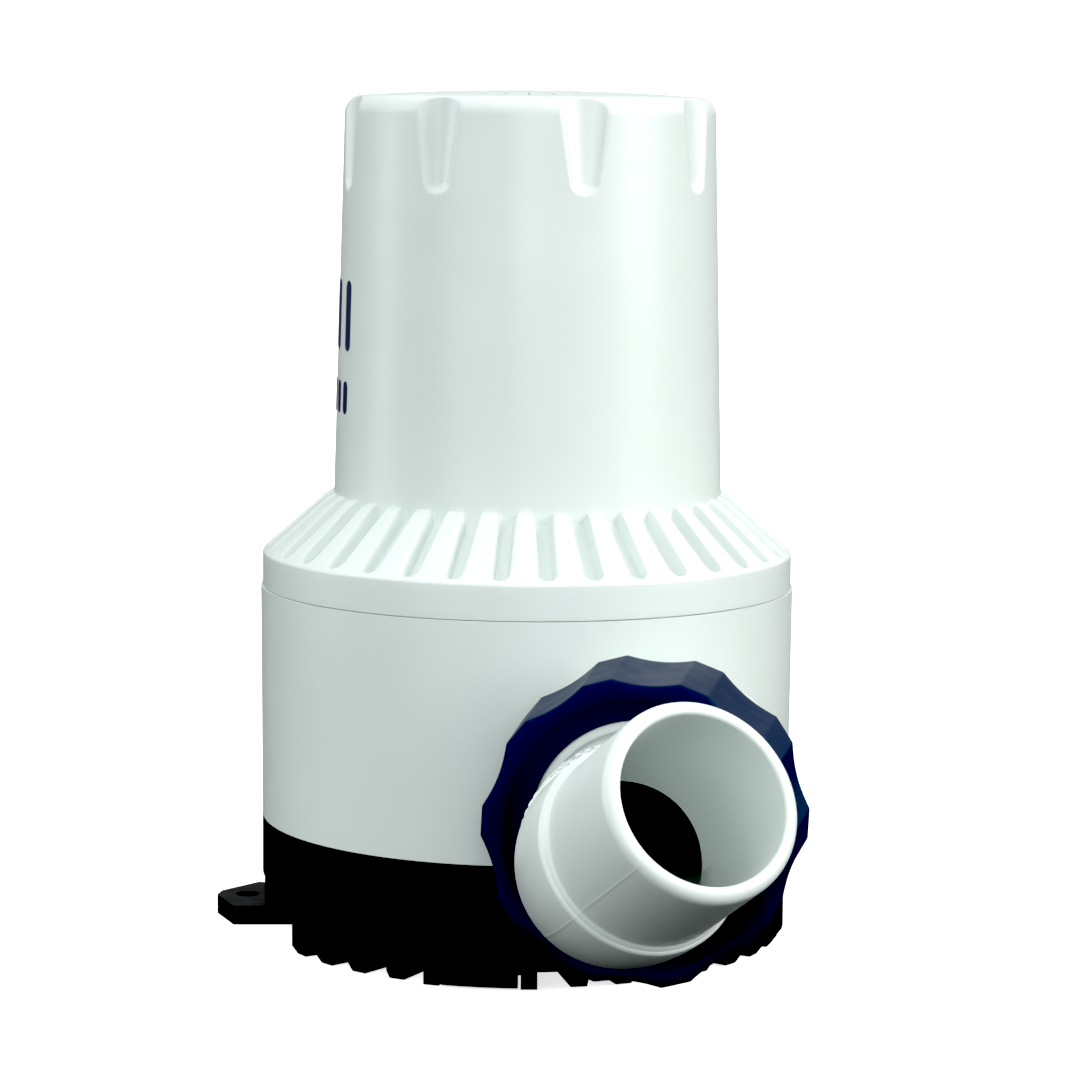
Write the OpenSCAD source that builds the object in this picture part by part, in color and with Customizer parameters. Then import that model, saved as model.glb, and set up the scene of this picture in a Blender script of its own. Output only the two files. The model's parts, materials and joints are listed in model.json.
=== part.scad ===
// Submersible bilge pump: strainer base, pump body, sealed motor housing and 45 degree discharge elbow.
// The origin is the centre of the base on the surface it stands on, +Z is up, and the port faces -Y.
// Azimuths are measured from the port side (-Y) towards +X.

/* [Pump body] */
// Outer radius of the pump body at its top edge
body_r = 58; // [57.5:0.1:58.5]
// Outer radius of the pump body where it meets the base
body_foot_r = 57.7; // [57.2:0.1:58]
// Height of the seam between the base and the pump body
base_top_z = 25.9; // [25:0.1:27]
// Height of the seam between the pump body and the motor housing
seam_z = 76.4; // [75:0.1:78]
// Radius of the chamber that the impeller turns in
chamber_r = 46; // [45:0.5:46.5]

/* [Motor housing] */
// Overall height of the pump
total_h = 183.5; // [180:0.5:190]
// Radius of the housing's lower flange
flange_r = 57.5; // [57:0.1:58]
// Height at which the ribbed cone starts
cone_z = 83.9; // [83:0.1:85]
// Radius of the housing wall at the top of the cone
wall_r = 42.1; // [41:0.1:43]
// Height of the top of the cone
wall_z = 97.6; // [96:0.1:99]
// Radius of the housing wall at its top
crown_r = 39.8; // [39:0.1:40.5]
// Wall thickness of the housing
wall_t = 3.6; // [3.4:0.1:4]
// Number of slots round the cone
slots = 36; // [24:1:40]
// Number of grip flutes round the top
flutes = 8; // [6:1:10]

/* [Strainer base] */
// Height of the strainer fins below the base wall
fin_h = 13; // [11:0.5:14]
// Thickness of a strainer fin
fin_t = 3.5; // [2.5:0.1:4]
// Reach of a mounting foot from the pump's axis
foot_reach = 69.3; // [67:0.1:72]
// Thickness of a mounting foot
foot_t = 4.2; // [3:0.1:5]
// Radius of a mounting screw hole
foot_hole_r = 2.6; // [2:0.1:3]

/* [Discharge] */
// Sideways offset of the port axis
port_x = 35.8; // [35:0.1:36.5]
// Height of the port axis
port_z = 39.5; // [39:0.1:40]
// Bore radius of the port and of the elbow
bore_r = 16.1; // [15:0.1:16.5]
// Outer radius of the hose spigot
spigot_r = 19.05; // [18.5:0.05:19.5]
// Distance of the elbow's corner in front of the pump's axis
corner_s = 117.9; // [115:0.1:122]
// Length of the spigot from the elbow's corner to its mouth
spigot_l = 40; // [38:0.5:44]
// Direction that the spigot leans, from straight up towards +X
clock = 45; // [0:1:90]
// Number of grip lobes on the union nut
lobes = 10; // [8:1:12]

/* [Motor] */
// Radius of the motor can
can_r = 31.5; // [30:0.5:32]
// Radius of the shaft
shaft_r = 4; // [3.8:0.1:4]
// Number of impeller vanes
vanes = 6; // [4:1:7]

/* [Hidden] */
$fn = 96;

// Clearances
gap = 0.4;
run = 0.05;
eps = 0.5;

// Pump body
body_wall = 3;
spigot_ring_r = 54.2;
body_bottom_z = 15;
body_floor_t = 3;
body_deck_z = 57;
inner_wall_t = 2.5;
eye_r = 20;
screw_pitch_r = 50;
screw_r = 2;
screw_az = [80, 160, 250, 335];

// Bulkhead and motor stack
bulkhead_t = 5;
bulkhead_z = body_deck_z + bulkhead_t;
can_z = bulkhead_z + 2;
can_top_z = 160;
bell_t = 4;
bell_z = can_top_z + bell_t;
housing_spigot_r = body_r - body_wall - gap;
seal_z = 73;

// Base
base_in_r = spigot_ring_r + gap;
fin_in_r = 42;
fin_phase = 1;
block_in_r = 47;
fin_wall_r = 54.6;
fin_inner_h = 11.8;
fin_out_r = 57.2;
plate_t = 2.5;
tab_half = 8;
tab_hinge_z = 3.5;
tab_hinge_y = 54.7;
tab_top_z = 15.8;
pin_r = 1;
pin_half = 10;
foot_az = [-90, 140];
foot_hole_at = 62.8;
open_az = [-60, -70, -110, -120];
slot_phase = 3.5;

// Discharge: s runs along the port axis, away from the pump's own axis
neck_r = 24;
thread_r = 27.3;
port_face_s = 75.6;
flange_t = 3.2;
flange_s = port_face_s + 0.6;
nut_back_s = 59.5;
nut_front_s = 85.2;
nut_back_r = 31.9;
nut_front_r = 30.9;
nut_phase = 33.3;
elbow_r = 19.8;
pivot_r = 29;
collar_r = 20.3;
bore_heel = 15.6;
nut_hole_r = 21.7;
bend = 45;

// Gland
gland_z = 112;
gland_y = 34;

// A point of an arc, and the points of an arc from one angle to another
function on_arc(c, r, a) = [c[0] + r * cos(a), c[1] + r * sin(a)];
function arc(c, r, a0, a1, n = 6) = [for (i = [0:n]) on_arc(c, r, a0 + (a1 - a0) * i / n)];

// Radius of the housing's outer wall at a height
function housing_r(z) = wall_r + (crown_r - wall_r) * (z - wall_z) / (total_h - wall_z);

// Puts +Z of the child along the port axis, with the child's Z as the distance from the pump's axis
module at_port() {
    translate([port_x, 0, port_z]) rotate([90, 0, 0]) children();
}

// Turns a child that is drawn on the port side (-Y) to an azimuth
module at_az(a) {
    rotate([0, 0, a]) children();
}

// Ring between two radii and two heights
module ring(r_in, r_out, z0, z1) {
    difference() {
        translate([0, 0, z0]) cylinder(r = r_out, h = z1 - z0);
        translate([0, 0, z0 - eps]) cylinder(r = r_in, h = z1 - z0 + 2 * eps);
    }
}

// Part of a ring from -half to +half degrees about the port side
module ring_sector(r_in, r_out, z0, z1, half) {
    rotate([0, 0, -90 - half]) translate([0, 0, z0])
        rotate_extrude(angle = 2 * half)
            translate([r_in, 0]) square([r_out - r_in, z1 - z0]);
}

// ---------------------------------------------------------------- strainer base

function is_open(a) = len([for (o = open_az) if (abs(o - a) < 1) 1]) > 0;
function near_foot(a) = len([for (f = foot_az) if (abs(f - a) < 15) 1]) > 0;
function has_fin(a) = abs(a) > 15 && abs(a) < 165 && !is_open(a) && !near_foot(a);

// Radial fin with a chamfered toe; its inner part stays below the heads of the housing screws
module fin() {
    toe_run = 1.4;
    toe_rise = 1.9;
    translate([fin_t / 2, 0, 0]) rotate([90, 0, -90]) linear_extrude(fin_t)
        polygon([[fin_in_r, 0], [fin_out_r - toe_run, 0], [fin_out_r, toe_rise],
            [fin_out_r, fin_h + 1], [fin_wall_r, fin_h + 1], [fin_wall_r, fin_inner_h],
            [fin_in_r, fin_inner_h]]);
}

// Foot with a pointed tip, drawn on the port side
module foot() {
    side = 64.3;
    half = 11;
    linear_extrude(foot_t)
        polygon([[-fin_in_r * sin(half), -fin_in_r * cos(half)], [-side * sin(half), -side * cos(half)],
            [-2, -foot_reach], [2, -foot_reach],
            [side * sin(half), -side * cos(half)], [fin_in_r * sin(half), -fin_in_r * cos(half)]]);
    ring_sector(block_in_r, body_foot_r - 0.3, 0, fin_h + 1, half - 1);
}

// Room for one release tab, with the holes that its trunnions turn in
module tab_window() {
    ring_sector(block_in_r, body_foot_r + 2, -1, tab_top_z + 0.6, tab_half + 0.6);
    translate([-pin_half - 0.3, -tab_hinge_y, tab_hinge_z]) rotate([0, 90, 0])
        cylinder(r = pin_r + run, h = 2 * pin_half + 0.6);
}

module strainer_base() {
    color([0.03, 0.03, 0.035]) difference() {
        union() {
            at_az(5) ring(base_in_r, body_foot_r, fin_h, base_top_z);
            at_az(5) cylinder(r = fin_in_r + 1, h = plate_t);
            for (i = [-17:18])
                if (has_fin(i * 10)) at_az(i * 10 + fin_phase) fin();
            for (a = foot_az) at_az(a) foot();
            for (a = [0, 180]) at_az(a) ring_sector(51, body_foot_r - 0.3, 0, fin_h + 1, tab_half + 4);
        }
        for (a = [0, 180]) at_az(a) tab_window();
        at_port() translate([0, 0, 20]) cylinder(r = neck_r + 0.6, h = 50);
        for (a = foot_az) at_az(a)
            translate([0, -foot_hole_at, -1]) cylinder(r = foot_hole_r, h = foot_t + 2);
    }
}

module release_tab() {
    color([0.03, 0.03, 0.035]) {
        ring_sector(base_in_r + gap, body_foot_r, 0.3, tab_top_z, tab_half);
        ring_sector(53.4, base_in_r + 1, 12.8, 14, tab_half - 2);
        translate([-pin_half, -tab_hinge_y, tab_hinge_z]) rotate([0, 90, 0]) cylinder(r = pin_r, h = 2 * pin_half);
    }
}

// ---------------------------------------------------------------- pump body

module pump_body() {
    color([0.92, 0.94, 0.93]) difference() {
        union() {
            rotate_extrude() polygon([[eye_r, body_bottom_z], [spigot_ring_r, body_bottom_z],
                [spigot_ring_r, base_top_z], [body_foot_r, base_top_z], [body_r, seam_z],
                [body_r - body_wall, seam_z], [body_r - body_wall, base_top_z + 3],
                [chamber_r + inner_wall_t, base_top_z + 3],
                [chamber_r + inner_wall_t, body_deck_z], [chamber_r, body_deck_z],
                [chamber_r, body_bottom_z + body_floor_t], [eye_r, body_bottom_z + body_floor_t]]);
            for (a = screw_az) at_az(a)
                translate([0, -screw_pitch_r, body_bottom_z + 1])
                    cylinder(r = 3.7, h = body_deck_z - body_bottom_z - 1);
            for (a = [0, 180]) at_az(a) ring_sector(50.4, spigot_ring_r - 0.3, 10.5, body_bottom_z + 1, tab_half - 0.5);
            at_port() translate([0, 0, 25]) cylinder(r = neck_r, h = 35);
            at_port() translate([0, 0, 58.5]) cylinder(r = thread_r, h = port_face_s - 58.5);
        }
        translate([0, 0, body_bottom_z + body_floor_t]) cylinder(r = chamber_r, h = body_deck_z);
        translate([0, 0, body_deck_z]) cylinder(r = body_r - body_wall, h = 40);
        at_port() translate([0, 0, 20]) cylinder(r = bore_r, h = port_face_s);
        for (a = screw_az) at_az(a)
            translate([0, -screw_pitch_r, 0]) cylinder(r = screw_r + 0.1, h = 80);
        for (a = [0, 180]) at_az(a) ring_sector(52.8, 60, 12.2, 14.6, tab_half + 0.5);
    }
}

module bulkhead() {
    color([0.85, 0.87, 0.86]) difference() {
        rotate_extrude() polygon([[9, 47], [13, 47], [13, body_deck_z], [housing_spigot_r, body_deck_z],
            [housing_spigot_r, bulkhead_z], [can_r + 2.7, bulkhead_z], [can_r + 2.7, 70],
            [can_r + 0.3, 70], [can_r + 0.3, can_z], [26, can_z], [26, bulkhead_z],
            [4.6, bulkhead_z], [4.6, 58], [9, 58]]);
        for (a = screw_az) at_az(a)
            translate([0, -screw_pitch_r, 50]) cylinder(r = screw_r + 0.1, h = 20);
    }
}

module housing_seal() {
    color([0.05, 0.05, 0.05]) translate([0, 0, seal_z])
        rotate_extrude() translate([housing_spigot_r - 0.65, 0]) circle(r = 1.02, $fn = 48);
}

// Pan head screws that hold the pump body, the bulkhead and the motor housing together from below
module housing_screws() {
    color([0.7, 0.7, 0.72]) for (a = screw_az) at_az(a) translate([0, -screw_pitch_r, 0])
        difference() {
            union() {
                translate([0, 0, body_bottom_z - 0.5]) cylinder(r = screw_r, h = 71 - body_bottom_z);
                translate([0, 0, body_bottom_z - 2.6]) cylinder(r = 3.6, h = 2.6);
            }
            translate([-2.5, -0.5, body_bottom_z - 3]) cube([5, 1, 1.6]);
        }
}

// ---------------------------------------------------------------- motor housing

// Slot between two ribs: a round-ended channel laid along the cone
module cone_slot() {
    slope = atan2(wall_z - cone_z, flange_r - wall_r);
    slot_w = 3.7;
    depth = 2.4;
    low = 3.4;
    translate([0, -flange_r, cone_z]) rotate([slope, 0, 0]) translate([0, low, -depth]) {
        translate([-slot_w / 2, 0, 0]) cube([slot_w, 22, depth + 3]);
        cylinder(r = slot_w / 2, h = depth + 3, $fn = 48);
    }
}

module cone_slots() {
    difference() {
        for (i = [0:slots - 1]) at_az(slot_phase + i * 360 / slots) cone_slot();
        translate([0, 0, 60]) cylinder(r = wall_r, h = 60);
    }
}

// Grip flute: a cone with a ball end, sunk into the wall and open at the top
module flute() {
    low_z = 164.6;
    low_r = 4;
    high_r = 9.5;
    low_y = housing_r(low_z) + 2.8;
    high_y = crown_r + 7;
    lean = atan2(high_y - low_y, total_h + 2 - low_z);
    translate([0, -low_y, low_z]) {
        rotate([lean, 0, 0]) cylinder(r1 = low_r, r2 = high_r, h = total_h + 2 - low_z);
        sphere(r = low_r);
    }
}

module motor_housing() {
    edge = 4;
    crown = 1.2;
    in_top = total_h - 4;
    color([0.93, 0.95, 0.94]) difference() {
        union() {
            rotate_extrude() polygon(concat(
                [[flange_r, seam_z], [flange_r, cone_z], [wall_r, wall_z]],
                arc([crown_r - edge, total_h - crown - edge], edge, 0, 78, 5),
                [[0, total_h], [0, in_top], [crown_r - wall_t - 2, in_top],
                    [crown_r - wall_t, in_top - 3], [wall_r - wall_t, wall_z - 2],
                    [flange_r - 3.6, cone_z - 2.6], [flange_r - 3.6, seam_z],
                    [housing_spigot_r - 4, seam_z - 2], [housing_spigot_r - 4, bulkhead_z + 1],
                    [housing_spigot_r, bulkhead_z + 1], [housing_spigot_r, seam_z]]));
            for (a = screw_az) at_az(a)
                translate([0, -screw_pitch_r, bulkhead_z + 0.2]) cylinder(r = 4, h = 13);
            translate([0, gland_y + 3, gland_z]) rotate([-90, 0, 0]) cylinder(r = 11, h = 7);
        }
        cone_slots();
        for (i = [0:flutes - 1]) at_az(-19.3 + i * 360 / flutes) flute();
        ring(housing_spigot_r - 1.75, housing_spigot_r + 1, seal_z - 1.15, seal_z + 1.15);
        for (a = screw_az) at_az(a)
            translate([0, -screw_pitch_r, 60]) cylinder(r = screw_r + run, h = 11.5);
        translate([0, 30, gland_z]) rotate([-90, 0, 0]) cylinder(r = 6.55, h = 20);
    }
}

// Printed marks: a row of plain bars over a row of plain blocks, a thin film on the housing wall
module label_print() {
    film = 0.12;
    bars = [-60, -71, -82, -93, -104, -115];
    blocks = [-61, -68, -75, -82, -89, -96, -103, -110, -117];
    color([0.04, 0.06, 0.2]) intersection() {
        rotate_extrude() polygon([[housing_r(110), 110], [housing_r(110) + film, 110],
            [housing_r(150) + film, 150], [housing_r(150), 150]]);
        union() {
            for (a = bars) at_az(a) translate([0, -30, 135.5]) rotate([90, 0, 0]) stadium(3, 15, 20);
            for (a = blocks) at_az(a) translate([0, -30, 118]) rotate([90, 0, 0]) stadium(2.6, 7, 20);
        }
    }
}

// Upright round-ended bar, centred on the origin
module stadium(w, h, depth) {
    translate([-w / 2, -(h - w) / 2, 0]) cube([w, h - w, depth]);
    for (side = [-1, 1]) translate([0, side * (h - w) / 2, 0]) cylinder(r = w / 2, h = depth, $fn = 32);
}

module gland_body() {
    color([0.9, 0.92, 0.91]) translate([0, gland_y, gland_z]) rotate([-90, 0, 0]) difference() {
        union() {
            cylinder(r = 9, h = 2.8, $fn = 6);
            cylinder(r = 6.5, h = 19);
        }
        translate([0, 0, -1]) cylinder(r = 4.6, h = 16);
        translate([0, 0, 13]) cylinder(r = 5.6, h = 8);
    }
}

module gland_seal() {
    color([0.08, 0.08, 0.08]) translate([0, gland_y + 13.1, gland_z]) rotate([-90, 0, 0]) difference() {
        cylinder(r = 5.5, h = 6.5);
        translate([0, 0, -1]) cylinder(r = 4.25, h = 10);
    }
}

module gland_cap() {
    color([0.9, 0.92, 0.91]) translate([0, gland_y + 10.2, gland_z]) rotate([-90, 0, 0]) difference() {
        union() {
            cylinder(r = 9.5, h = 7, $fn = 6);
            cylinder(r1 = 8.2, r2 = 6.6, h = 12);
        }
        translate([0, 0, -1]) cylinder(r = 6.6, h = 10.7);
        cylinder(r = 4.6, h = 20);
    }
}

// ---------------------------------------------------------------- discharge

module union_nut() {
    inner_r = thread_r + 0.3;
    lip_s = flange_s + flange_t + 0.3;
    hole_r = nut_hole_r;
    scoop = 26;
    depth = 1.35;
    color([0.05, 0.09, 0.28]) at_port() difference() {
        rotate_extrude() polygon([[inner_r, nut_back_s], [nut_back_r - 0.6, nut_back_s],
            [nut_back_r, nut_back_s + 0.8], [nut_front_r, nut_front_s - 1], [nut_front_r - 1, nut_front_s],
            [nut_front_r - 2.6, nut_front_s], [hole_r + 1.2, lip_s + 1.6], [hole_r, lip_s + 1.6],
            [hole_r, lip_s], [inner_r, lip_s]]);
        for (i = [0:lobes - 1]) rotate([0, 0, nut_phase + (i + 0.5) * 360 / lobes])
            translate([nut_back_r - depth + scoop, 0, nut_back_s])
                rotate([0, -atan2(nut_back_r - nut_front_r, nut_front_s - nut_back_s), 0])
                    translate([0, 0, -5]) cylinder(r = scoop, h = 40);
    }
}

// Frame at the elbow's corner: Z runs on along the port axis and X points where the spigot leans
module at_corner() {
    at_port() rotate([0, 0, 90 - clock]) translate([0, 0, corner_s]) children();
}

// Half of the bore on one side of the mitre plane: turn is 0 on the port's leg and bend on the spigot's.
// A flat heel keeps wall thickness where the mitre comes near the outside of the bend.
module bore_leg(turn, from_z, to_z) {
    side = turn == 0 ? 0 : -120;
    at_corner() difference() {
        rotate([0, turn, 0]) translate([0, 0, from_z]) cylinder(r = bore_r, h = to_z - from_z);
        rotate([0, bend / 2, 0]) translate([-60, -60, side]) cube(120);
        rotate([0, bend / 2, 0]) translate([-120 - bore_heel, -60, -60]) cube(120);
    }
}

// The outside is a round bend between two straight legs, and the bore is drilled from both ends.
// The bend runs a little way (lap, in degrees) into both legs, and is a hair thinner than they are.
module discharge_elbow() {
    lip = (spigot_r - bore_r) / 2;
    bend_run = pivot_r * tan(bend / 2);
    lap = 0.5;
    step = 0.02;
    color([0.93, 0.95, 0.94]) difference() {
        union() {
            at_port() translate([0, 0, flange_s]) cylinder(r = thread_r - 0.6, h = flange_t);
            at_port() translate([0, 0, flange_s]) cylinder(r = elbow_r, h = corner_s - bend_run - flange_s);
            at_corner() translate([pivot_r, 0, -bend_run]) rotate([90, 0, 180]) rotate([0, 0, -lap])
                rotate_extrude(angle = bend + 2 * lap) translate([pivot_r, 0]) circle(r = elbow_r - step);
            at_corner() rotate([0, bend, 0]) rotate_extrude() polygon(concat(
                [[0, bend_run], [elbow_r, bend_run], [collar_r, bend_run + 0.6],
                    [collar_r - 0.3, bend_run + 1.1], [spigot_r, bend_run + 1.9]],
                arc([spigot_r - lip, spigot_l - lip], lip, 0, 84, 4),
                [[0, spigot_l]]));
        }
        bore_leg(0, flange_s - 5 - corner_s, 15);
        bore_leg(bend, -20, spigot_l + 10);
    }
}

module elbow_seal() {
    color([0.05, 0.05, 0.05]) at_port() translate([0, 0, port_face_s + 0.02])
        difference() {
            cylinder(r = 22, h = 0.56);
            translate([0, 0, -1]) cylinder(r = 17.5, h = 3);
        }
}

// ---------------------------------------------------------------- rotor

// One backward curved vane, seen along Z
module vane_2d() {
    bow = 30;
    vane_t = 2.4;
    intersection() {
        translate([bow - 3, 0]) difference() {
            circle(r = bow + vane_t / 2);
            circle(r = bow - vane_t / 2);
        }
        difference() {
            translate([-60, 0]) square([120, 60]);
            circle(r = 10);
        }
        circle(r = 42.5);
    }
}

module impeller() {
    color([0.08, 0.08, 0.09]) difference() {
        union() {
            translate([0, 0, 38]) cylinder(r = 43, h = 2.5);
            translate([0, 0, 24]) cylinder(r = 11, h = 20);
            for (i = [0:vanes - 1]) rotate([0, 0, i * 360 / vanes])
                translate([0, 0, 21]) linear_extrude(18) vane_2d();
        }
        cylinder(r = shaft_r + 0.02, h = 80);
    }
}

module impeller_nut() {
    color([0.72, 0.72, 0.74]) translate([0, 0, 18.6]) difference() {
        union() {
            cylinder(r = 7, h = 4.4, $fn = 6);
            translate([0, 0, 4.4]) cylinder(r = 8, h = 0.9);
        }
        translate([0, 0, -1]) cylinder(r = shaft_r + 0.02, h = 8);
    }
}

module thrust_washer() {
    color([0.75, 0.72, 0.55]) ring(shaft_r + run, 8.5, 44.1, 45.3);
}

module motor_shaft() {
    color([0.75, 0.76, 0.78]) translate([0, 0, 16]) cylinder(r = shaft_r, h = 154);
}

// Two lip seals, one above the other, in the bulkhead's boss
module shaft_seals() {
    color([0.06, 0.06, 0.06]) for (z = [47.6, 52.8]) ring(shaft_r + run, 8.95, z, z + 4.6);
}

module armature_core() {
    poles = 8;
    color([0.45, 0.45, 0.47]) difference() {
        translate([0, 0, 84]) cylinder(r = 23.8, h = 46);
        translate([0, 0, 80]) cylinder(r = shaft_r + 0.02, h = 60);
        for (i = [0:poles - 1]) rotate([0, 0, i * 360 / poles]) {
            translate([11, -3.4, 80]) cube([9.5, 6.8, 60]);
            translate([19, -1.2, 80]) cube([8, 2.4, 60]);
        }
    }
}

module armature_windings() {
    poles = 8;
    color([0.72, 0.4, 0.2]) {
        ring(9, 21, 74, 83.6);
        ring(9, 21, 130.4, 139);
        for (i = [0:poles - 1]) rotate([0, 0, i * 360 / poles])
            translate([11.4, -3, 80]) cube([8.6, 6, 54]);
    }
}

module commutator() {
    bars = 8;
    color([0.8, 0.5, 0.28]) difference() {
        ring(shaft_r + 0.02, 11, 141, 153);
        for (i = [0:bars - 1]) rotate([0, 0, (i + 0.5) * 360 / bars])
            translate([9.4, -0.35, 140]) cube([4, 0.7, 14]);
    }
}

// ---------------------------------------------------------------- motor, fixed parts

module lower_bearing() {
    color([0.68, 0.69, 0.72]) difference() {
        ring(shaft_r + run, 10.9, can_z + 2.1, can_z + 8.9);
        ring(6.4, 8.6, can_z + 1.5, can_z + 2.5);
        ring(6.4, 8.6, can_z + 8.5, can_z + 9.5);
    }
}

module upper_bearing() {
    color([0.7, 0.55, 0.3]) ring(shaft_r + run, 7.9, bell_z - 1, bell_z + 5);
}

module motor_can() {
    color([0.6, 0.61, 0.63]) {
        ring(can_r - 2, can_r, can_z, can_top_z);
        ring(5.5, can_r, can_z, can_z + 2);
        ring(11, 13.4, can_z, can_z + 9);
    }
}

module magnet(a) {
    color([0.2, 0.2, 0.21]) at_az(a) ring_sector(24.6, can_r - 2.1, 80, 134, 66);
}

module end_bell() {
    color([0.12, 0.12, 0.13]) difference() {
        union() {
            translate([0, 0, can_top_z]) cylinder(r = can_r, h = bell_t);
            translate([0, 0, can_top_z]) cylinder(r = 11, h = bell_t + 5);
            for (side = [-1, 1]) translate([side * 20.5 - 7.5, -5.5, 140.5]) cube([15, 11, 20]);
        }
        translate([0, 0, can_top_z - 1]) cylinder(r = 5.5, h = 20);
        translate([0, 0, bell_z - 1.1]) cylinder(r = 8, h = 20);
        translate([-40, -3.1, 142.9]) cube([80, 6.2, 8.2]);
        for (side = [-1, 1]) translate([side * 16 - 3.5, 9.4, can_top_z - 1]) cube([7, 1.2, 8]);
    }
}

module brush(side) {
    color([0.13, 0.13, 0.14]) translate([side > 0 ? 11.15 : -21.15, -3, 143]) cube([10, 6, 8]);
}

// Coil spring behind a brush, drawn as closed turns joined by a bar
module brush_spring(side) {
    color([0.72, 0.72, 0.74]) translate([side > 0 ? 22.2 : -22.2, 0, 147]) rotate([0, side * 90, 0]) {
        for (i = [0:3]) translate([0, 0, i * 1.5])
            rotate_extrude() translate([2.2, 0]) circle(r = 0.4, $fn = 24);
        translate([2.2, -0.25, -0.2]) cube([0.5, 0.5, 4.9]);
    }
}

module motor_terminals() {
    color([0.8, 0.68, 0.3]) for (side = [-1, 1])
        translate([side * 16 - 3.15, 9.6, can_top_z - 0.5]) difference() {
            cube([6.3, 0.8, 13]);
            translate([3.15, 2, 11]) rotate([90, 0, 0]) cylinder(r = 0.9, h = 4, $fn = 24);
        }
}

module motor_cushion() {
    color([0.1, 0.1, 0.1]) ring(23, 29, bell_z, total_h - 4.1);
}

strainer_base();
release_tab();  // front_release_tab
at_az(180) release_tab();  // rear_release_tab
pump_body();
bulkhead();
housing_seal();
motor_housing();
housing_screws();
label_print();
gland_body();
gland_seal();
gland_cap();
union_nut();
discharge_elbow();
elbow_seal();
impeller();
impeller_nut();
thrust_washer();
motor_shaft();
shaft_seals();
lower_bearing();
upper_bearing();
motor_can();
magnet(-90);  // magnet_left
magnet(90);  // magnet_right
armature_core();
armature_windings();
commutator();
end_bell();
brush(-1);  // brush_left
brush(1);  // brush_right
brush_spring(-1);  // brush_spring_left
brush_spring(1);  // brush_spring_right
motor_terminals();
motor_cushion();
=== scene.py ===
import json
import math

import bpy
from mathutils import Matrix, Vector


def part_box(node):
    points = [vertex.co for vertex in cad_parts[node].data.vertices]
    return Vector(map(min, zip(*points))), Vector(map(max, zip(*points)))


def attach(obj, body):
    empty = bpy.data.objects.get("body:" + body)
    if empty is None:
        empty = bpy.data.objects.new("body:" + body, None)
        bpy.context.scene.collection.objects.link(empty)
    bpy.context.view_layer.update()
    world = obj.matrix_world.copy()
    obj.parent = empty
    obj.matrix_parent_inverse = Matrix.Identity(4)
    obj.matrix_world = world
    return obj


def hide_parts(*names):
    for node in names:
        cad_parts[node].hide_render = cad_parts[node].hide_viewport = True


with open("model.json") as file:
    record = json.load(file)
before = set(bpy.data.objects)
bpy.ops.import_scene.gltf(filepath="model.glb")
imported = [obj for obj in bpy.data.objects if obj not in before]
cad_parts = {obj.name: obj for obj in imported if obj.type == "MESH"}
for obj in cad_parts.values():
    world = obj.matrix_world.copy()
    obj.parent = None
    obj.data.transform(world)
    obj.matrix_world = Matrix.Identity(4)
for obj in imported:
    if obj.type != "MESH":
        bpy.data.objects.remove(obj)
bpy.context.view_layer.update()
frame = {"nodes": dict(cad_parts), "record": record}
MM = 0.001
scene = bpy.context.scene


# ---------------------------------------------------------------- materials

def new_material(name):
    m = bpy.data.materials.new(name)
    m.use_nodes = True
    t = m.node_tree
    t.nodes.clear()
    out = t.nodes.new("ShaderNodeOutputMaterial")
    bsdf = t.nodes.new("ShaderNodeBsdfPrincipled")
    t.links.new(bsdf.outputs["BSDF"], out.inputs["Surface"])
    return m, t, bsdf


def noise(t, coords, scale, detail=2.0, rough=0.5):
    n = t.nodes.new("ShaderNodeTexNoise")
    n.inputs["Scale"].default_value = scale
    n.inputs["Detail"].default_value = detail
    n.inputs["Roughness"].default_value = rough
    t.links.new(coords, n.inputs["Vector"])
    return n.outputs["Fac"]


def ramp(t, fac, stops):
    """Colours read off a row of (position, colour) stops."""
    r = t.nodes.new("ShaderNodeValToRGB")
    while len(r.color_ramp.elements) < len(stops):
        r.color_ramp.elements.new(0.5)
    for e, (pos, col) in zip(r.color_ramp.elements, stops):
        e.position = pos
        e.color = (*col, 1.0)
    t.links.new(fac, r.inputs["Fac"])
    return r.outputs["Color"]


def span(t, fac, lo, hi, a, b):
    """Value that goes from lo to hi while fac goes from a to b."""
    n = t.nodes.new("ShaderNodeMapRange")
    for k, v in (("From Min", a), ("From Max", b), ("To Min", lo), ("To Max", hi)):
        n.inputs[k].default_value = v
    t.links.new(fac, n.inputs["Value"])
    return n.outputs["Result"]


def bump(t, height, strength, distance, normal=None):
    n = t.nodes.new("ShaderNodeBump")
    n.inputs["Strength"].default_value = strength
    n.inputs["Distance"].default_value = distance
    t.links.new(height, n.inputs["Height"])
    if normal is not None:
        t.links.new(normal, n.inputs["Normal"])
    return n.outputs["Normal"]


# Noise scales are in cycles per metre, depths and radii in metres
DRIFT_SCALE, GLOSS_SCALE, WAVE_SCALE, FLOOR_SCALE = 22.0, 120.0, 60.0, 3.0
WAVE_DEPTH, SCRATCH_DEPTH = 0.00012, 0.00002
BRUSH_SCALE = 900.0
COAT_ROUGH = 0.25
GLOW_RADIUS = (0.004, 0.004, 0.004)


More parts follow.
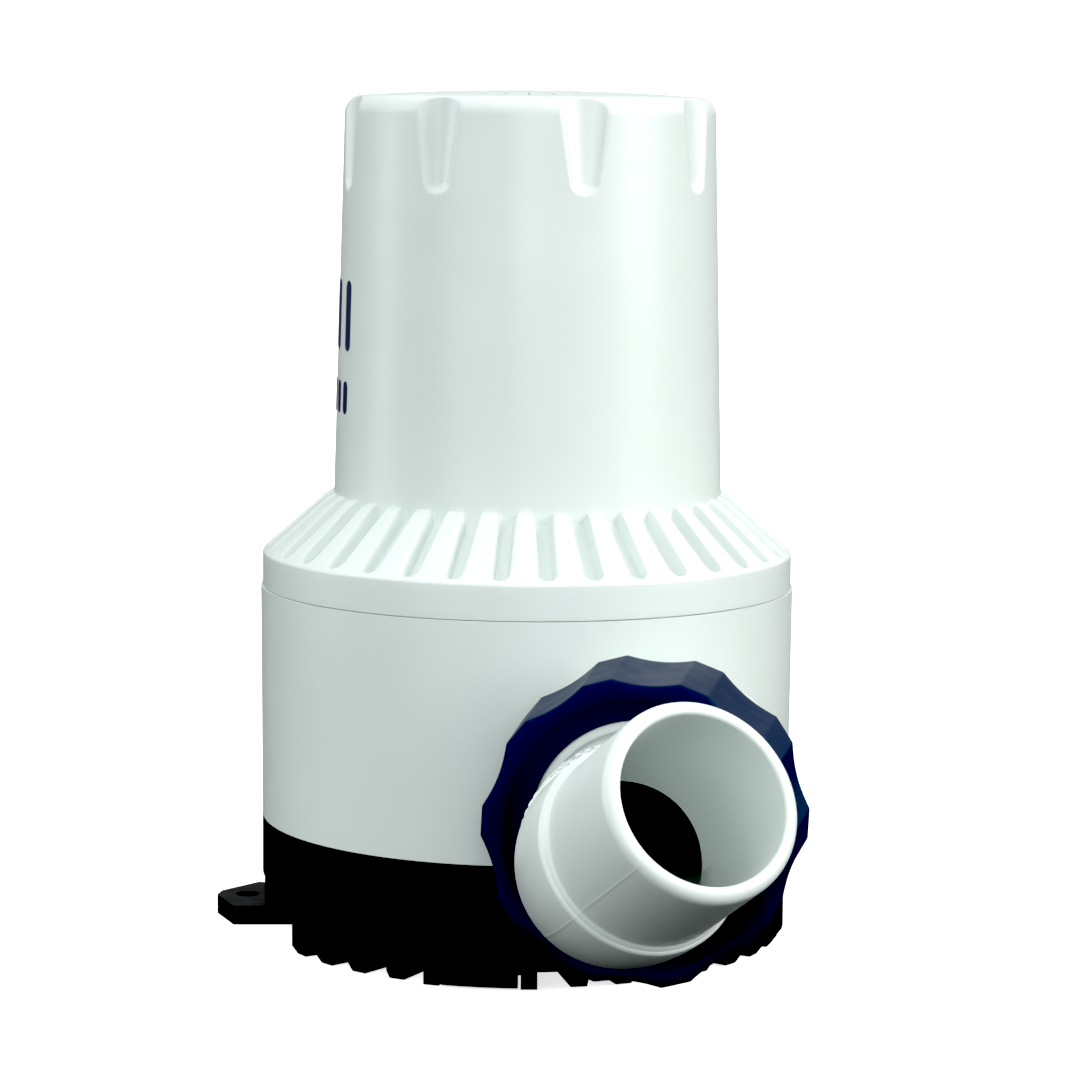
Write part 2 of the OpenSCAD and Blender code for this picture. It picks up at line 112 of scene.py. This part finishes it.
def plastic(name, dark, light, rough, coat=0.0, grain=2600.0, grain_mm=0.01, sub=0.0, ior=1.5,
            tint=(1.0, 1.0, 1.0)):
    """Moulded plastic: slow colour drift, uneven gloss, a fine grain and shallow waves."""
    m, t, b = new_material(name)
    c = t.nodes.new("ShaderNodeTexCoord").outputs["Object"]
    drift = noise(t, c, DRIFT_SCALE, 3.0)
    t.links.new(ramp(t, drift, [(0.3, dark), (0.7, light)]), b.inputs["Base Color"])
    gloss = noise(t, c, GLOSS_SCALE, 5.0, 0.6)
    t.links.new(span(t, gloss, rough[0], rough[1], 0.3, 0.7), b.inputs["Roughness"])
    n = bump(t, noise(t, c, grain), 0.35, grain_mm * MM)
    n = bump(t, noise(t, c, WAVE_SCALE), 0.25, WAVE_DEPTH, n)
    t.links.new(n, b.inputs["Normal"])
    b.inputs["IOR"].default_value = ior
    b.inputs["Specular Tint"].default_value = (*tint, 1.0)
    b.inputs["Coat Weight"].default_value = coat
    b.inputs["Coat Roughness"].default_value = COAT_ROUGH
    b.inputs["Subsurface Weight"].default_value = sub
    b.inputs["Subsurface Radius"].default_value = GLOW_RADIUS
    return m


def metal(name, dark, light, rough):
    """Turned or pressed metal, with a fine grain in its colour, gloss and surface."""
    m, t, b = new_material(name)
    c = t.nodes.new("ShaderNodeTexCoord").outputs["Object"]
    s = noise(t, c, BRUSH_SCALE, 3.0, 0.6)
    t.links.new(ramp(t, s, [(0.25, dark), (0.75, light)]), b.inputs["Base Color"])
    t.links.new(span(t, s, rough[0], rough[1], 0.2, 0.8), b.inputs["Roughness"])
    t.links.new(bump(t, s, 0.3, SCRATCH_DEPTH), b.inputs["Normal"])
    b.inputs["Metallic"].default_value = 1.0
    return m


MATS = {
    "white_plastic": plastic("white_abs", (0.68, 0.745, 0.72), (0.72, 0.78, 0.755), (0.32, 0.42),
                             coat=0.1, sub=0.2),
    "black_plastic": plastic("black_plastic", (0.0025, 0.0025, 0.003), (0.005, 0.005, 0.006), (0.6, 0.75),
                             grain=1500.0, grain_mm=0.03, ior=1.3),
    "blue_plastic": plastic("blue_plastic", (0.0004, 0.009, 0.042), (0.0008, 0.013, 0.056), (0.38, 0.48),
                            grain=2200.0, grain_mm=0.04, ior=1.25, tint=(0.22, 0.55, 1.0)),
    "impeller_plastic": plastic("black_nylon", (0.01, 0.01, 0.011), (0.02, 0.02, 0.022), (0.5, 0.62)),
    "washer_plastic": plastic("acetal", (0.5, 0.45, 0.3), (0.6, 0.55, 0.38), (0.4, 0.5)),
    "rubber": plastic("nitrile", (0.008, 0.008, 0.008), (0.016, 0.016, 0.016), (0.7, 0.85),
                      grain_mm=0.04),
    "stainless": metal("stainless", (0.42, 0.43, 0.44), (0.6, 0.61, 0.62), (0.22, 0.38)),
    "motor_steel": metal("motor_steel", (0.33, 0.34, 0.35), (0.5, 0.51, 0.52), (0.3, 0.45)),
    "bronze": metal("bronze", (0.4, 0.24, 0.09), (0.6, 0.4, 0.17), (0.3, 0.45)),
    "copper": metal("copper", (0.4, 0.13, 0.045), (0.62, 0.25, 0.1), (0.28, 0.4)),
    "ferrite": plastic("ferrite", (0.03, 0.03, 0.033), (0.06, 0.06, 0.065), (0.55, 0.7)),
    "carbon": plastic("carbon", (0.015, 0.015, 0.017), (0.035, 0.035, 0.037), (0.45, 0.6)),
    "label_ink": plastic("label_ink", (0.006, 0.01, 0.06), (0.008, 0.013, 0.08), (0.4, 0.5)),
}

SLOT_OF = {s["node"]: s["material_slot"] for s in frame["record"]["subparts"]}
for name, ob in frame["nodes"].items():
    ob.data.materials.clear()
    ob.data.materials.append(MATS[SLOT_OF[name]])


# ---------------------------------------------------------------- mesh tools

def clamp(x, lo=0.0, hi=1.0):
    return max(lo, min(hi, x))


def smooth(lo, hi, x):
    """0 below lo, 1 above hi, and an S curve between."""
    k = clamp((x - lo) / (hi - lo))
    return k * k * (3.0 - 2.0 * k)


def soft_min(a, b, k):
    """Smaller of two values, with the corner between them rounded over a width k."""
    h = max(k - abs(a - b), 0.0) / k
    return min(a, b) - h * h * k / 4.0


def soft_max(a, b, k):
    return -soft_min(-a, -b, k)


def spread(lo, hi, count):
    """Evenly spaced values from lo to hi, both included."""
    return [lo + (hi - lo) * i / (count - 1) for i in range(count)]


def round_at(centre, radius, start, end, steps):
    """Points (r, z) along an arc, angles in degrees from +r towards +z."""
    return [(centre[0] + radius * math.cos(math.radians(a)), centre[1] + radius * math.sin(math.radians(a)))
            for a in spread(start, end, steps)]


def azimuth_point(r, az, z):
    """Point at a radius and an azimuth in degrees, measured from -Y towards +X."""
    a = math.radians(az)
    return (r * math.sin(a), -r * math.cos(a), z)


class Shell:
    """Collects closed grids of points, in millimetres, into one mesh."""

    def __init__(self):
        self.verts = []
        self.faces = []

    def wall(self, at, m, steps):
        """Quads between neighbouring rings of m points; steps pairs the numbers of the rings."""
        for i, k in steps:
            for j in range(m):
                a, b, c = at + i * m, at + k * m, (j + 1) % m
                self.faces.append((a + j, a + c, b + c, b + j))

    def ring_loop(self, rings):
        """Closed surface through a closed loop of closed rings."""
        n, m, at = len(rings), len(rings[0]), len(self.verts)
        for ring in rings:
            self.verts.extend(ring)
        self.wall(at, m, [(i, (i + 1) % n) for i in range(n)])

    def capped(self, rings):
        """Closed surface through a row of rings, with a fan at each end."""
        n, m, at = len(rings), len(rings[0]), len(self.verts)
        for ring in rings:
            self.verts.extend(ring)
        self.wall(at, m, [(i, i + 1) for i in range(n - 1)])
        for ring_at, turned in ((at, True), (at + (n - 1) * m, False)):
            ring = self.verts[ring_at:ring_at + m]
            self.verts.append(tuple(sum(p[i] for p in ring) / m for i in range(3)))
            centre = len(self.verts) - 1
            for j in range(m):
                tri = (ring_at + j, ring_at + (j + 1) % m, centre)
                self.faces.append(tri[::-1] if turned else tri)

    def slab(self, rings):
        """Closed block through a row of rings that are two rows of points each, there and back."""
        n, m, at = len(rings), len(rings[0]), len(self.verts)
        for ring in rings:
            self.verts.extend(ring)
        self.wall(at, m, [(i, i + 1) for i in range(n - 1)])
        for a, turned in ((at, True), (at + (n - 1) * m, False)):
            for j in range(m // 2 - 1):
                quad = (a + j, a + j + 1, a + m - 2 - j, a + m - 1 - j)
                self.faces.append(quad[::-1] if turned else quad)

    def piece(self, name, body, slot_name, node, sharp=35.0):
        """Object made of all that was collected, in place of a CAD node and moving with a body."""
        me = bpy.data.meshes.new(name)
        me.from_pydata([(x * MM, y * MM, z * MM) for x, y, z in self.verts], [], self.faces)
        me.polygons.foreach_set("use_smooth", [True] * len(self.faces))
        me.set_sharp_from_angle(angle=math.radians(sharp))
        o = bpy.data.objects.new(name, me)
        scene.collection.objects.link(o)
        me.materials.append(MATS[slot_name])
        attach(o, body)
        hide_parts(node)


# ---------------------------------------------------------------- motor housing

# Millimetres and degrees from here on. Slots start SLOT_LOW up the cone's slope.
TOP_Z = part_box("motor_housing")[1][2] / MM
SEAM_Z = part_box("pump_body")[1][2] / MM
FLANGE_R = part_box("motor_housing")[1][0] / MM + 0.1
CONE_Z, WALL_Z = SEAM_Z + 7.5, SEAM_Z + 21.2
WALL_R, CROWN_R = 42.1, 39.8
EDGE_R, CROWN = 4.0, 1.2
WALL_T, TOP_T = 3.6, 4.0
RIM_R = 0.9
SLOTS, SLOT_PHASE, SLOT_HALF, SLOT_DEPTH, SLOT_LOW = 36, 3.5, 1.85, 3.0, 1.5
SLOT_COLUMNS = (0.0, 0.5, 0.95, 1.25, 1.45, 1.6, 1.75, 1.9, 2.08, 2.35, 2.8)
FLUTES, FLUTE_PHASE, FLUTE_LOW = 8, -19.3, 162.5
FLUTE_HALF, FLUTE_SPREAD, FLUTE_TOE = 2.9, 3.2, 1.9
FLUTE_DEPTH, FLUTE_DEEPEN = 1.25, 1.1
PLAIN_WALL = (110, 125, 140, 150, 157)
BOSS_Y, BOSS_R, BOSS_HOLE_R = 37.0, 11.0, 6.6
CONE_L = math.hypot(FLANGE_R - WALL_R, WALL_Z - CONE_Z)
CONE_T = ((WALL_R - FLANGE_R) / CONE_L, (WALL_Z - CONE_Z) / CONE_L)
CONE_N = (CONE_T[1], -CONE_T[0])


def wall_radius(z):
    return WALL_R + (CROWN_R - WALL_R) * (z - WALL_Z) / (TOP_Z - WALL_Z)


def housing_columns(r):
    """(azimuth, offset from the middle of the nearest slot) of every column of points."""
    across = [-u for u in SLOT_COLUMNS[:0:-1]] + list(SLOT_COLUMNS)
    pitch = 360.0 / SLOTS
    edge = math.degrees(math.asin(SLOT_COLUMNS[-1] / r))
    turns = [math.degrees(math.asin(u / r)) for u in across]
    turns += [edge + (pitch - 2 * edge) * f for f in (0.25, 0.5, 0.75)]
    out = []
    for i in range(SLOTS):
        for a in turns:
            near = a if a <= pitch / 2 else a - pitch
            out.append((SLOT_PHASE + i * pitch + a, r * math.sin(math.radians(near))))
    return out


def slot_cut(u, v):
    """How far into a slot a point is: 0 on a rib and 1 on the slot's floor."""
    low = SLOT_LOW + SLOT_HALF
    away = math.hypot(u, low - v) if v < low else abs(u)
    return 1.0 - smooth(-0.75, 0.4, away - SLOT_HALF)


def cone_ring(v):
    """One ring of the ribbed cone, at a distance v up its slope."""
    r0 = FLANGE_R + CONE_T[0] * v
    z0 = CONE_Z + CONE_T[1] * v
    ring = []
    for az, u in housing_columns(r0):
        cut = slot_cut(u, v)
        z = soft_min(z0, WALL_Z - 0.7, 1.6) - cut * SLOT_DEPTH * CONE_N[1]
        r = soft_max(r0 - cut * SLOT_DEPTH * CONE_N[0], WALL_R, 0.3 + 1.6 * cut)
        ring.append(azimuth_point(r, az, z))
    return ring


def flute_depth(az, z):
    """Depth of the nearest grip flute at a point of the wall."""
    pitch = 360.0 / FLUTES
    off = (az - FLUTE_PHASE + pitch / 2) % pitch - pitch / 2
    up = clamp((z - FLUTE_LOW) / (TOP_Z - FLUTE_LOW), -0.2, 1.0)
    across = CROWN_R * math.sin(math.radians(off))
    q = abs(across) / (FLUTE_HALF + FLUTE_SPREAD * up)
    low = FLUTE_LOW + FLUTE_TOE
    if z < low:
        q = math.hypot(q, (low - z) / 2.2)
    if q >= 1.0:
        return 0.0
    bowl = 1.0 - q * q
    return (FLUTE_DEPTH + FLUTE_DEEPEN * max(up, 0.0)) * bowl * smooth(0.0, 0.35, bowl) ** 0.5


def wall_ring(z, top_r=None):
    """One ring of the housing's wall, or of its top where a radius is given."""
    ring = []
    wall = wall_radius(z)
    base = wall if top_r is None else top_r
    for az, _ in housing_columns(max(base, 30.0)):
        r = base
        if z > FLUTE_LOW - 1:
            depth = flute_depth(az, z)
            if depth > 0.0:
                r = soft_min(base, wall - depth, 0.25)
        ring.append(azimuth_point(r, az, z))
    return ring


def make_motor_housing():
    shell = Shell()
    columns = [az for az, _ in housing_columns(FLANGE_R)]

    def band_ring(r, z):
        return [azimuth_point(r, az, z) for az in columns]

    in_top, in_flange_r = TOP_Z - TOP_T, FLANGE_R - WALL_T
    rings = [band_ring(r, z) for r, z in (
        (1.0, in_top), (CROWN_R - 6.0, in_top), (CROWN_R - WALL_T, in_top - 3.0),
        (WALL_R - WALL_T, WALL_Z - 2.0), (in_flange_r, CONE_Z - WALL_T), (in_flange_r, SEAM_Z + 0.1))]
    foot = 0.35
    rings += [band_ring(r, z) for r, z in round_at((FLANGE_R - foot, SEAM_Z + 0.1 + foot), foot, -90, 0, 4)]
    rings += [band_ring(FLANGE_R, z) for z in spread(SEAM_Z + 1.5, CONE_Z - 0.5, 4)]
    turn = math.degrees(math.atan2(CONE_N[1], CONE_N[0]))
    reach = RIM_R * math.tan(math.radians(turn / 2))
    rim = round_at((FLANGE_R - RIM_R, CONE_Z - reach), RIM_R, 0, turn, 5)
    rings += [band_ring(r, z) for r, z in rim[1:]]
    climb = spread(reach + 0.15, 5.6, 17) + spread(6.4, 15.6, 9) + spread(16.2, CONE_L - 0.05, 13)
    rings += [cone_ring(v) for v in climb]
    rings += [wall_ring(z) for z in (WALL_Z, WALL_Z + 0.8, WALL_Z + 3, *PLAIN_WALL)]
    edge_z = TOP_Z - CROWN - EDGE_R
    rings += [wall_ring(z) for z in spread(FLUTE_LOW - 0.9, FLUTE_LOW + 3.6, 13)]
    rings += [wall_ring(z) for z in spread(FLUTE_LOW + 4.6, edge_z, 12)]
    edge = round_at((wall_radius(edge_z) - EDGE_R, edge_z), EDGE_R, 0, 82, 22)
    rings += [wall_ring(z, r) for r, z in edge[1:]]
    last_r, last_z = edge[-1]
    rings += [wall_ring(last_z + (TOP_Z - last_z) * (1 - f * f), last_r * f) for f in (0.75, 0.5, 0.25, 0.03)]
    shell.capped(rings)

    boss = [(BOSS_HOLE_R, 0.0), (BOSS_HOLE_R, 7.0)] + round_at((10.2, 6.2), 0.8, 90, 0, 4) + [(BOSS_R, 0.0)]
    low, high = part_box("gland_body")
    x, z = (low[0] + high[0]) / 2 / MM, (low[2] + high[2]) / 2 / MM
    around = [math.radians(a) for a in range(0, 360, 6)]
    shell.ring_loop([[(x + r * math.cos(a), BOSS_Y + y, z + r * math.sin(a)) for a in around] for r, y in boss])
    shell.piece("motor_housing_shell", "pump", "white_plastic", "motor_housing")


# ---------------------------------------------------------------- port frame: union nut and elbow

PORT_X, PORT_Z = 35.8, 39.5
LOBES, LOBE_PHASE, LOBE_FLAT = 10, 33.3, 5.5
LOBE_R, LOBE_HOLLOW = 31.0, 1.55
NUT_EDGE, NUT_TAPER, NUT_THREAD_R, NUT_HOLE_R = 0.8, 0.9, 27.6, 21.7
# Inner face of the nut, from its lip to its thread: radius, and depth behind the front
NUT_DISH = ((26.2, 2.4), (25.2, 3.35), (24.3, 4.1), (23.5, 4.55), (22.8, 4.75), (22.2, 4.8), (21.85, 4.9),
            (NUT_HOLE_R, 5.1), (NUT_HOLE_R, 5.8), (22.0, 6.0), (27.3, 6.0), (NUT_THREAD_R, 6.3))
# Lip of the nut: distance inside the rim, depth, and how much of the lobes is left
NUT_LIP = ((-0.25, 0.0, 0.9), (0.45, 0.08, 0.6), (1.15, 0.32, 0.35), (1.9, 0.8, 0.15), (2.7, 1.5, 0.05))


def port_point(r, turn, s):
    """Point at a radius and an angle in degrees from +X towards +Z, s in front of the pump's axis."""
    a = math.radians(turn)
    return (PORT_X + r * math.cos(a), -s, PORT_Z + r * math.sin(a))


def lobe_drop(turn):
    """How far a point of the nut's rim lies inside the crests: flat crests with hollows between."""
    pitch = 360.0 / LOBES
    off = abs((turn - LOBE_PHASE + pitch / 2) % pitch - pitch / 2)
    crest = LOBE_R * (1.0 - math.cos(math.radians(LOBE_FLAT)) / math.cos(math.radians(off)))
    side = (off - pitch / 2) / (pitch / 2 - LOBE_FLAT)
    hollow = LOBE_HOLLOW * (1.0 - side * side)
    return soft_max(crest, hollow, 0.16) if off > LOBE_FLAT / 2 else crest


def make_union_nut():
    low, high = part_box("union_nut")
    front, back = -low[1] / MM, -high[1] / MM
    rim_r = (high[0] - low[0]) / 2 / MM
    turns = spread(0.0, 360.0, 721)[:-1]

    def plain(r, s):
        return [port_point(r, a, s) for a in turns]

    def lobed(r, s, share=1.0):
        taper = NUT_TAPER * (s - back) / (front - back)
        return [port_point(r - taper - share * lobe_drop(a), a, s) for a in turns]

    corner = (rim_r - NUT_EDGE, 0.0)
    rings = [plain(NUT_THREAD_R, back), plain(NUT_THREAD_R + 1.0, back)]
    rings += [lobed(r, back + NUT_EDGE - z) for r, z in round_at(corner, NUT_EDGE, 90, 0, 5)]
    rings += [lobed(rim_r, s) for s in spread(back + 2.5, front - 2.2, 8)]
    rings += [lobed(r, front - NUT_EDGE + z) for r, z in round_at(corner, NUT_EDGE, 0, 70, 6)]
    lip = rim_r - NUT_TAPER - 1.15
    rings += [lobed(lip - inside, front + 0.02 - deep, share) for inside, deep, share in NUT_LIP]
    rings += [plain(r, front - deep) for r, deep in NUT_DISH]
    shell = Shell()
    shell.ring_loop(rings)
    shell.piece("union_nut_shell", "nut", "blue_plastic", "union_nut", sharp=50.0)


FLANGE_S, PORT_FLANGE_R, FLANGE_T, CORNER_S = 76.2, 26.7, 3.2, 117.9
ELBOW_R, COLLAR_R, SPIGOT_R, BORE_R, SPIGOT_L = 19.8, 20.3, 19.05, 16.1, 40.0
SHOULDER_R, COVE_R, LIP_R, MOUTH_R = 1.1, 1.0, 2.2, 0.7
RIDGE = 0.05
RIDGE_COLUMNS = (0.0, 0.35, 0.7, 1.2, 2.2)
BEND, PIVOT = math.radians(45.0), 29.0
BORE_HEEL = 15.6
RUN, BEND_L = PIVOT * math.tan(BEND / 2), PIVOT * BEND
BEND_S = CORNER_S - RUN
AHEAD = Vector((0.0, -1.0, 0.0))
LEAN = Vector((math.sqrt(0.5), 0.0, math.sqrt(0.5)))
PAD_TURN, PAD_S, PAD_RISE = (97.0, 176.0), (92.0, 105.5), 0.35
DASH_ROWS, DASHES, DASH_TURN, DASH_STEP = (94.2, 97.9, 101.6), 13, 101.0, 5.6
DASH_W, DASH_L, DASH_RISE, DASH_EDGE = 3.4, 2.1, 0.28, 0.12


def leg_axes(beta):
    """Directions along, towards the inside of the bend and across, beta radians into the bend."""
    along = AHEAD * math.cos(beta) + LEAN * math.sin(beta)
    inward = LEAN * math.cos(beta) - AHEAD * math.sin(beta)
    return along, inward, along.cross(inward)


def elbow_ring(at, radii, turns):
    """Ring round the elbow's centreline; at runs from the flange, through the bend, to the mouth."""
    along, inward, side = leg_axes(BEND * clamp((at - BEND_S) / BEND_L))
    start = Vector((PORT_X, 0.0, PORT_Z)) + AHEAD * min(at, BEND_S)
    centre = start + (LEAN - inward) * PIVOT + along * max(0.0, at - BEND_S - BEND_L)
    return [tuple(centre + (side * math.sin(a) - inward * math.cos(a)) * r) for a, r in zip(turns, radii)]


def bore_ring(beta, at, turns):
    """Ring of the bore on the leg at beta, or the slanted ring where both legs meet if at is None."""
    corner = Vector((PORT_X, -CORNER_S, PORT_Z))
    along, inward, side = leg_axes(beta)
    outward = (AHEAD - leg_axes(BEND)[0]).normalized()
    ring = []
    for a in turns:
        run = at if at is not None else -BORE_R * math.cos(a) * math.tan(BEND / 2)
        point = (side * math.sin(a) - inward * math.cos(a)) * BORE_R + along * run
        point -= outward * max(0.0, point.dot(outward) - BORE_HEEL)
        ring.append(tuple(corner + point))
    return ring


def make_elbow():
    half = list(RIDGE_COLUMNS) + spread(4.0, 176.0, 87) + [180.0 - x for x in RIDGE_COLUMNS[::-1]]
    turns = [math.radians(a) for a in half + [360.0 - x for x in half[-2:0:-1]]]
    off = [abs(math.degrees(math.asin(clamp(math.sin(a), -1.0, 1.0)))) for a in turns]
    ridge = [RIDGE * (1.0 - smooth(0.2, 0.9, x)) for x in off]

    def ring(at, r, line=1.0):
        return elbow_ring(at, [r + line * x for x in ridge], turns)

    def spigot_ring(l, r, line=1.0):
        return ring(BEND_S + BEND_L + l - RUN, r, line)

    end = FLANGE_S + FLANGE_T
    rings = [ring(s, r, 0) for s, r in (
        (FLANGE_S, BORE_R), (FLANGE_S, PORT_FLANGE_R - 0.4), (FLANGE_S + 0.4, PORT_FLANGE_R),
        (end - 0.4, PORT_FLANGE_R), (end, PORT_FLANGE_R - 0.4), (end, ELBOW_R + 0.8))]
    rings += [ring(end + z, r, 0) for r, z in round_at((ELBOW_R + 0.8, 0.8), 0.8, 225, 180, 3)]
    rings += [ring(s, ELBOW_R) for s in spread(end + 2.0, BEND_S - 0.5, 8)]
    rings += [ring(BEND_S + BEND_L * f, ELBOW_R + (COLLAR_R - ELBOW_R) * smooth(0.35, 1.0, f))
              for f in spread(0.0, 0.97, 19)]
    shoulder = RUN + 1.2
    rings += [spigot_ring(shoulder - SHOULDER_R + z, r)
              for r, z in round_at((COLLAR_R - SHOULDER_R, 0.0), SHOULDER_R, 0, 62, 6)]
    cove = (SPIGOT_R + COVE_R, shoulder + 0.35 + COVE_R)
    rings += [spigot_ring(z, r) for r, z in round_at(cove, COVE_R, 230, 180, 6)]
    rings += [spigot_ring(l, SPIGOT_R) for l in spread(cove[1] + 1.5, SPIGOT_L - 4.0, 9)]
    lip = round_at((SPIGOT_R - LIP_R, SPIGOT_L - LIP_R), LIP_R, 0, 90, 8)
    rings += [spigot_ring(z, r, 1.0 - i / 7) for i, (r, z) in enumerate(lip)]
    mouth = round_at((BORE_R + MOUTH_R, SPIGOT_L - MOUTH_R), MOUTH_R, 90, 180, 5)
    rings += [spigot_ring(z, r, 0) for r, z in mouth]
    rings += [bore_ring(BEND, l, turns) for l in (*spread(SPIGOT_L - 4.0, 10.0, 5), None)]
    rings += [bore_ring(0.0, l, turns) for l in (-10.0, FLANGE_S + 12.0 - CORNER_S)]
    shell = Shell()
    shell.ring_loop(rings)
    add_elbow_marks(shell)
    shell.piece("discharge_elbow_shell", "elbow", "white_plastic", "discharge_elbow", sharp=30.0)


def curved_block(shell, r, rise, turn, along, edge=0.25):
    """Raised block on the elbow's port leg, with softened edges, sunk a little into it."""
    steps = max(2, int(abs(turn[1] - turn[0]) / 2.5) + 1)
    inset = math.degrees(edge / r)
    rings = []
    for radius, k in ((r - 0.5, 0.0), (r + rise - edge, 0.0), (r + rise, 1.0)):
        angles = spread(turn[0] + inset * k, turn[1] - inset * k, steps)
        rings.append([port_point(radius, a, along[0] + edge * k) for a in angles]
                     + [port_point(radius, a, along[1] - edge * k) for a in angles[::-1]])
    shell.slab(rings)


def add_elbow_marks(shell):
    """A low pad on the port leg with three rows of plain raised dashes."""
    curved_block(shell, ELBOW_R, PAD_RISE, PAD_TURN, PAD_S)
    for row, s in enumerate(DASH_ROWS):
        for i in range(DASHES):
            if (i + row) % 5 == 4:
                continue
            a = DASH_TURN + i * DASH_STEP
            curved_block(shell, ELBOW_R + PAD_RISE, DASH_RISE, (a, a + DASH_W), (s, s + DASH_L), DASH_EDGE)


make_motor_housing()
make_union_nut()
make_elbow()


# ---------------------------------------------------------------- stage, light and camera

CENTRE, MOUTH = (0.0, -0.02, 0.09), (0.05, -0.13, 0.055)
FLOOR_GLOW = 0.72
TENT = ((0.46, (0.015, 0.018, 0.018)), (0.5, (0.25, 0.275, 0.27)), (0.66, (0.5, 0.535, 0.53)),
        (0.85, (1.25, 1.28, 1.28)))
LENS, SENSOR_W = 117.99, 36.0
CAMERA_AT = (0.1227, -0.7578, 0.1835)
PAN, TILT, ROLL = 8.988, 82.757, 0.486
BLACK_LEVEL = 0.025


def area_light(name, energy, size, place, target, color):
    d = bpy.data.lights.new(name, "AREA")
    d.shape = "RECTANGLE"
    d.size, d.size_y = size
    d.energy = energy
    d.color = color
    o = bpy.data.objects.new(name, d)
    scene.collection.objects.link(o)
    o.location = place
    o.rotation_euler = (Vector(target) - Vector(place)).to_track_quat("-Z", "Y").to_euler()


def make_floor():
    """Floor, a hair below the object, that curves up into a backdrop far behind it."""
    near, far, bend, high, wide, rows = -3.0, 2.6, 1.4, 3.5, 6.0, 16
    below = 0.0002
    path = [(near, 0.0)]
    for i in range(rows + 1):
        a = math.pi / 2 * i / rows
        path.append((far + bend * math.sin(a), bend - bend * math.cos(a)))
    path.append((far + bend, high))
    verts = [(x, y, z - below) for y, z in path for x in (-wide, wide)]
    faces = [(2 * i, 2 * i + 1, 2 * i + 3, 2 * i + 2) for i in range(len(path) - 1)]
    me = bpy.data.meshes.new("floor")
    me.from_pydata(verts, [], faces)
    me.polygons.foreach_set("use_smooth", [True] * len(faces))
    o = bpy.data.objects.new("floor", me)
    scene.collection.objects.link(o)
    m, t, b = new_material("floor_paper")
    c = t.nodes.new("ShaderNodeTexCoord").outputs["Object"]
    paper = [(0.3, (0.93, 0.93, 0.93)), (0.7, (0.95, 0.95, 0.95))]
    t.links.new(ramp(t, noise(t, c, FLOOR_SCALE, 4.0), paper), b.inputs["Base Color"])
    b.inputs["Roughness"].default_value = 0.8
    b.inputs["Emission Color"].default_value = (1.0, 1.0, 1.0, 1.0)
    b.inputs["Emission Strength"].default_value = FLOOR_GLOW
    o.data.materials.append(m)
    o.visible_diffuse = False
    o.visible_glossy = False


def make_world():
    """Soft light tent: bright above the horizon and dim below it."""
    w = bpy.data.worlds.new("studio")
    scene.world = w
    w.use_nodes = True
    t = w.node_tree
    c = t.nodes.new("ShaderNodeTexCoord").outputs["Generated"]
    sep = t.nodes.new("ShaderNodeSeparateXYZ")
    t.links.new(c, sep.inputs[0])
    tent = ramp(t, span(t, sep.outputs["Z"], 0.0, 1.0, -1.0, 1.0), TENT)
    t.links.new(tent, t.nodes["Background"].inputs["Color"])


def make_camera():
    cam_data = bpy.data.cameras.new("camera")
    cam_data.lens = LENS
    cam_data.sensor_width = SENSOR_W
    cam_data.clip_start = 0.01
    cam = bpy.data.objects.new("camera", cam_data)
    scene.collection.objects.link(cam)
    place = Matrix.Translation(CAMERA_AT)
    for angle, axis in ((PAN, "Z"), (TILT, "X"), (ROLL, "Z")):
        place = place @ Matrix.Rotation(math.radians(angle), 4, axis)
    cam.matrix_world = place
    scene.camera = cam


make_floor()
make_world()
area_light("key", 16.5, (0.7, 0.9), (1.35, -0.30, 0.60), CENTRE, (1.0, 0.985, 0.975))
area_light("front_fill", 7.5, (0.9, 0.7), (-0.70, -1.45, 0.08), CENTRE, (0.96, 1.0, 0.99))
area_light("rim_left", 3.2, (0.3, 0.9), (-1.1, -0.1, 0.4), CENTRE, (0.97, 1.0, 1.0))
area_light("mouth_fill", 1.3, (0.25, 0.25), (0.12, -0.80, 0.26), MOUTH, (0.98, 1.0, 1.0))
make_camera()
scene.view_settings.view_transform = "Standard"
scene.view_settings.use_curve_mapping = True
scene.view_settings.curve_mapping.black_level = (BLACK_LEVEL,) * 3
